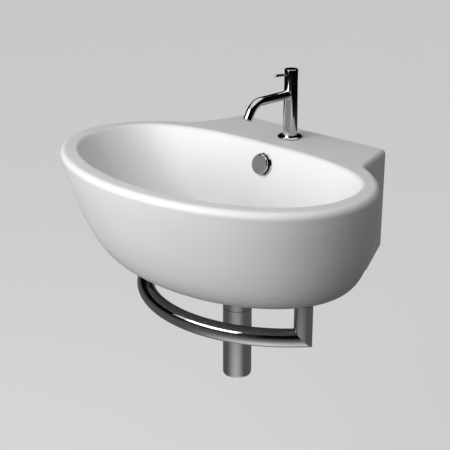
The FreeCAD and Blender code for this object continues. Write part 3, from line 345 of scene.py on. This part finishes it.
class BASIN_OT_steel(bpy.types.Operator):
    """Makes the pins, studs, screws and springs of stainless steel"""
    bl_idname = "basin.steel"
    bl_label = "Stainless steel"

    def execute(self, context):
        dress(STAINLESS, drawn_steel(context.scene.basin_finishes))
        return {"FINISHED"}


class BASIN_OT_acetal(bpy.types.Operator):
    """Makes the cartridge, the guide, the aerator and the rail's end plugs of plastic"""
    bl_idname = "basin.acetal"
    bl_label = "Plastic"

    def execute(self, context):
        dress(MOULDED_PLASTIC, moulded_acetal(context.scene.basin_finishes))
        return {"FINISHED"}


class BASIN_OT_rubber(bpy.types.Operator):
    """Makes the seals and gaskets of rubber"""
    bl_idname = "basin.rubber"
    bl_label = "Rubber"

    def execute(self, context):
        dress(MOULDED_RUBBER, moulded_rubber(context.scene.basin_finishes))
        return {"FINISHED"}


def from_slope(turn, height):
    """The direction that lies at a turn from the front and a slope above level."""
    return Vector((
        math.sin(turn) * math.cos(height), -math.cos(turn) * math.cos(height), math.sin(height)))


def disc(radius, height):
    """A flat round sheet at a height."""
    shell = bmesh.new()
    bmesh.ops.create_circle(shell, cap_ends=True, segments=DISC_SIDES, radius=radius)
    bmesh.ops.translate(shell, verts=shell.verts, vec=(0, 0, height))
    return shell


def stage_piece(scene, name, shell, material):
    """A piece of the stage made from a shell, which it uses up."""
    mesh = bpy.data.meshes.new(name)
    shell.to_mesh(mesh)
    shell.free()
    mesh.materials.append(material)
    piece = bpy.data.objects.new(name, mesh)
    scene.collection.objects.link(piece)
    return piece


class BASIN_OT_stage(bpy.types.Operator):
    """Makes the floor, the lights, the background and the camera"""
    bl_idname = "basin.stage"
    bl_label = "Stage"

    def execute(self, context):
        stage = context.scene.basin_stage
        scene = context.scene
        scene.view_settings.view_transform = "Standard"
        floor = disc(stage.floor_radius, -stage.floor_drop)
        stage_piece(scene, "floor", floor, self.floor_material(stage))
        self.hang_flags(scene, stage)
        self.light_world(scene, stage)
        self.place_key(scene, stage)
        self.place_camera(scene, stage)
        return {"FINISHED"}

    def seen(self, tree):
        """1 for rays that see the stage, 0 for those that only carry its light."""
        path = add_node(tree, "ShaderNodeLightPath")
        pair = add_node(tree, "ShaderNodeMath", {"operation": "MAXIMUM"}, {
            0: path.outputs["Is Camera Ray"], 1: path.outputs["Is Glossy Ray"]})
        return add_node(tree, "ShaderNodeMath", {"operation": "MAXIMUM"}, {
            0: pair.outputs[0], 1: path.outputs["Is Transmission Ray"]}).outputs[0]

    def floor_material(self, stage):
        """Pale and matt where it is seen, and darker where it only lights the object."""
        material, tree, _ = new_material("floor_painted_matt")
        lit = add_node(tree, "ShaderNodeBsdfDiffuse", inputs={"Color": rgba(stage.floor)})
        glow = add_node(tree, "ShaderNodeEmission", inputs={"Color": rgba(stage.floor)})
        shown = add_node(tree, "ShaderNodeMixShader", inputs={
            "Fac": stage.floor_glow, 1: lit.outputs[0], 2: glow.outputs[0]})
        bounce = add_node(tree, "ShaderNodeBsdfDiffuse", inputs={"Color": rgba(stage.floor_bounce)})
        shader = add_node(tree, "ShaderNodeMixShader", inputs={
            "Fac": self.seen(tree), 1: bounce.outputs[0], 2: shown.outputs[0]})
        finish_material(tree, shader)
        return material

    def hang_flags(self, scene, stage):
        """Glowing sheets that paint the chrome's reflections: the dark bands of a dark room, greyer
        near the floor, and pale bands from a painted pool of light.

        A curtain hangs all round, with a low screen in its gap, which shows the key light, and a
        mat inside it. Only reflections show them: they throw no shadow and no view sees them.
        """
        right, left, foot = stage.gap_right, -stage.gap_left, -stage.floor_drop
        shells = {
            "curtain": self.cloth_round(stage, (right, left + math.tau), (foot, stage.curtain_top)),
            "screen": self.cloth_round(stage, (left, right), (foot, stage.screen_top)),
            "mat": disc(stage.curtain_reach, foot + MAT_LIFT),
        }
        # emission that paints the reflections of a dark room and of a pool of light
        painted_reflection = self.curtain_material(stage)
        for name, shell in shells.items():
            flag = stage_piece(scene, name, shell, painted_reflection)
            for ray in ("camera", "diffuse", "shadow", "volume_scatter"):
                setattr(flag, "visible_" + ray, False)

    def cloth_round(self, stage, turns, heights):
        """A cloth on a round rail, from one turn to another and between two heights."""
        edge = from_slope(turns[0], 0) * stage.curtain_reach
        shell = bmesh.new()
        foot, head = (shell.verts.new((edge.x, edge.y, height)) for height in heights)
        strip = shell.edges.new((foot, head))
        bmesh.ops.spin(
            shell, geom=[foot, head, strip], axis=(0, 0, 1), steps=CURTAIN_STEPS,
            angle=turns[1] - turns[0])
        return shell

    def curtain_material(self, stage):
        """Glows grey at the foot and dark above as a painted reflection, with a painted pool of
        light on the mat that fades all round.
        """
        material, tree, place = new_material("curtain_dark")
        # painted reflection: glows grey near the floor and darker above
        height = add_node(tree, "ShaderNodeSeparateXYZ", inputs={"Vector": place}).outputs["Z"]
        share = add_node(tree, "ShaderNodeMapRange", inputs={
            "Value": height, "From Min": -stage.curtain_grey, "From Max": -stage.curtain_dark})
        tone = add_node(tree, "ShaderNodeMix", settings={"data_type": "RGBA"}, inputs={
            MIX_SHARE: share.outputs["Result"], MIX_FIRST: rgba(stage.curtain_foot),
            MIX_SECOND: rgba(stage.curtain_head)})
        # painted pool of light, glowing on the mat and fading with distance
        centre = from_slope(stage.painted_light_turn, 0) * stage.painted_light_distance
        centre.z = -stage.floor_drop
        apart = add_node(tree, "ShaderNodeVectorMath", settings={"operation": "DISTANCE"}, inputs={
            0: place, 1: centre})
        glow = add_node(tree, "ShaderNodeMapRange", {"interpolation_type": "SMOOTHSTEP"}, {
            "Value": apart.outputs["Value"], "From Max": stage.painted_light_reach,
            "To Min": 1.0, "To Max": 0.0})
        painted_tone = add_node(tree, "ShaderNodeMix", settings={"data_type": "RGBA"}, inputs={
            MIX_SHARE: glow.outputs["Result"], MIX_FIRST: tone.outputs[MIX_RESULT],
            MIX_SECOND: rgba(stage.patch)})
        shader = add_node(tree, "ShaderNodeEmission", inputs={"Color": painted_tone.outputs[MIX_RESULT]})
        finish_material(tree, shader)
        return material

    def light_world(self, scene, stage):
        world = bpy.data.worlds.new("studio")
        world.use_nodes = True
        tree = world.node_tree
        tree.nodes.clear()
        soft = add_node(tree, "ShaderNodeBackground", inputs={
            "Color": rgba(stage.background), "Strength": stage.fill})
        shown = add_node(tree, "ShaderNodeBackground", inputs={
            "Color": rgba(stage.background), "Strength": 1.0})
        mixed = add_node(tree, "ShaderNodeMixShader", inputs={
            "Fac": self.seen(tree), 1: soft.outputs[0], 2: shown.outputs[0]})
        add_node(tree, "ShaderNodeOutputWorld", inputs={"Surface": mixed.outputs[0]})
        scene.world = world

    def place_key(self, scene, stage):
        target = (CAD_BOX[0] + CAD_BOX[1]) / 2
        towards = from_slope(-stage.key_turn, stage.key_height)
        lamp = bpy.data.lights.new("key_softbox", "AREA")
        lamp.shape = "RECTANGLE"
        lamp.size = stage.key_size
        lamp.size_y = stage.key_size
        lamp.energy = stage.key_power
        key = bpy.data.objects.new("key_softbox", lamp)
        key.location = target + towards * stage.key_distance
        key.rotation_euler = towards.to_track_quat("Z", "Y").to_euler()
        key.visible_camera = False
        scene.collection.objects.link(key)

    def place_camera(self, scene, stage):
        view = from_slope(stage.camera_turn, stage.camera_height)
        camera = bpy.data.objects.new("camera", bpy.data.cameras.new("camera"))
        camera.data.lens = stage.lens
        camera.data.sensor_width = SENSOR_WIDTH
        camera.location = stage.camera_place
        camera.rotation_euler = view.to_track_quat("Z", "Y").to_euler()
        scene.collection.objects.link(camera)
        scene.camera = camera


class BASIN_PT_panel(bpy.types.Panel):
    """Lists the steps that dress the basin"""
    bl_idname = "BASIN_PT_panel"
    bl_label = "Hand Basin"
    bl_space_type = "VIEW_3D"
    bl_region_type = "UI"
    bl_category = "Hand Basin"

    def draw(self, context):
        for step in STEPS:
            self.layout.operator(step.bl_idname)
        for settings in (context.scene.basin_finishes, context.scene.basin_stage):
            for key in settings.__annotations__:
                self.layout.prop(settings, key)


STEPS = (
    BASIN_OT_china, BASIN_OT_plate, BASIN_OT_brass, BASIN_OT_steel, BASIN_OT_acetal,
    BASIN_OT_rubber, BASIN_OT_stage,
)
CLASSES = (BasinFinishes, BasinStage, *STEPS, BASIN_PT_panel)


def register():
    for each in CLASSES:
        bpy.utils.register_class(each)
    bpy.types.Scene.basin_finishes = PointerProperty(type=BasinFinishes)
    bpy.types.Scene.basin_stage = PointerProperty(type=BasinStage)


def unregister():
    del bpy.types.Scene.basin_stage
    del bpy.types.Scene.basin_finishes
    for each in reversed(CLASSES):
        bpy.utils.unregister_class(each)


def main():
    register()
    bpy.ops.basin.china()
    bpy.ops.basin.plate()
    bpy.ops.basin.brass()
    bpy.ops.basin.steel()
    bpy.ops.basin.acetal()
    bpy.ops.basin.rubber()
    bpy.ops.basin.stage()


if __name__ == "__main__":
    main()
